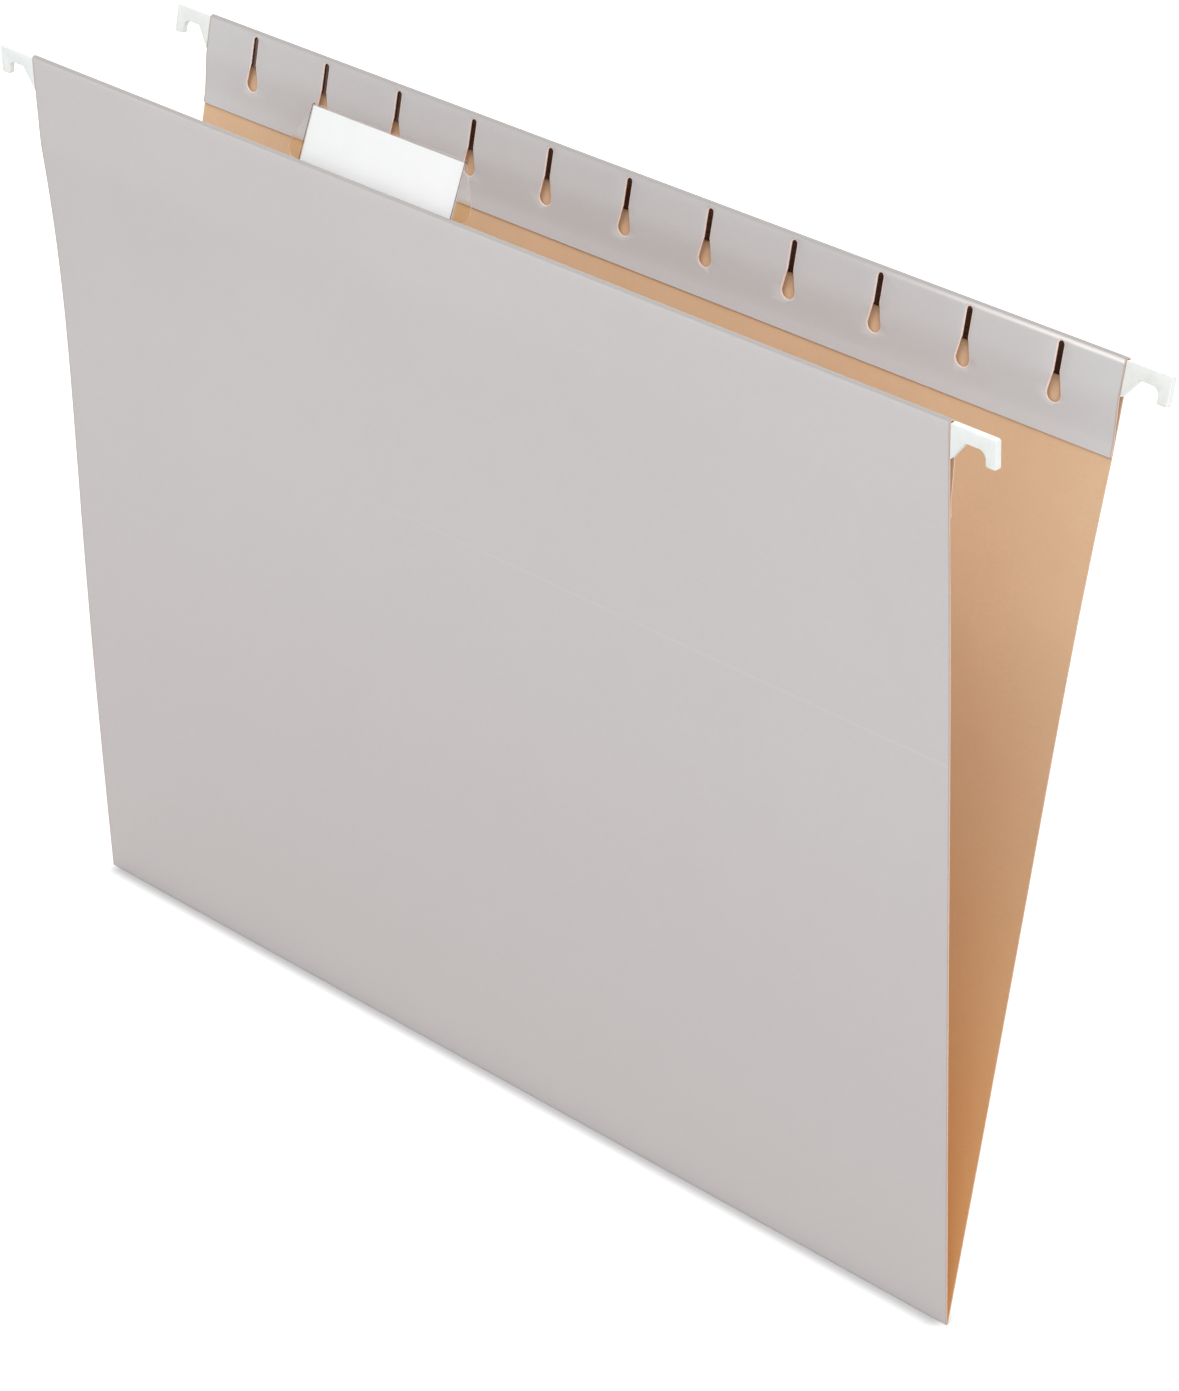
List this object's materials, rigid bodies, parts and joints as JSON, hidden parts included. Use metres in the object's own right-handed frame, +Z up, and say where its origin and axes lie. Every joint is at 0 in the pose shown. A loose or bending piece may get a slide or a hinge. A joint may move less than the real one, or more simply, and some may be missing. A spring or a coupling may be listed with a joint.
{
  "type": "hanging file folder",
  "caption": "Letter-size hanging file folder: grey card folded in a V with kraft inside, hooked steel rods in its top folds, slotted flaps and a clear index tab with a blank insert.",
  "frame": {"origin": "under the middle of the bottom crease", "axes": "+X along the crease, +Y from the front panel to the back panel, +Z up"},
  "size_m": [0.3238, 0.0596, 0.2457],
  "materials": {
    "grey_card": "uncoated card, grey outside and kraft brown inside",
    "glue": "dried paper glue",
    "rod_steel": "cold-rolled strip",
    "hook_plastic": "smooth dipped coat",
    "clear_plastic": "clear",
    "insert_paper": "smooth white"
  },
  "bodies": {
    "front": {"front_panel": "grey_card", "front_top_fold": "grey_card", "front_flap": "grey_card", "front_glue_strip": "glue", "front_rod": "rod_steel", "front_left_hook_coat": "hook_plastic", "front_right_hook_coat": "hook_plastic", "bottom_fold": "grey_card", "tab_foot": "clear_plastic"},
    "back": {"back_panel": "grey_card", "back_top_fold": "grey_card", "back_flap": "grey_card", "back_glue_strip": "glue", "back_rod": "rod_steel", "back_left_hook_coat": "hook_plastic", "back_right_hook_coat": "hook_plastic"},
    "tab": {"tab_window": "clear_plastic"},
    "insert": {"tab_insert": "insert_paper"}
  },
  "joints": [
    {"name": "crease", "type": "hinge", "parent": "front", "child": "back", "pos_m": [0, 0, 0.0003], "axis": [-1, 0, 0], "range_deg": [-12.5, 165.5]},
    {"name": "tab_tilt", "type": "hinge", "parent": "front", "child": "tab", "pos_m": [0, -0.0273, 0.23115], "axis": [-1, 0, 0], "range_deg": [-24, 15], "stiffness_Nm_per_rad": 0.005},
    {"name": "insert_slide", "type": "slide", "parent": "tab", "child": "insert", "axis": [1, 0, 0], "range_m": [0, 0.052]}
  ]
}
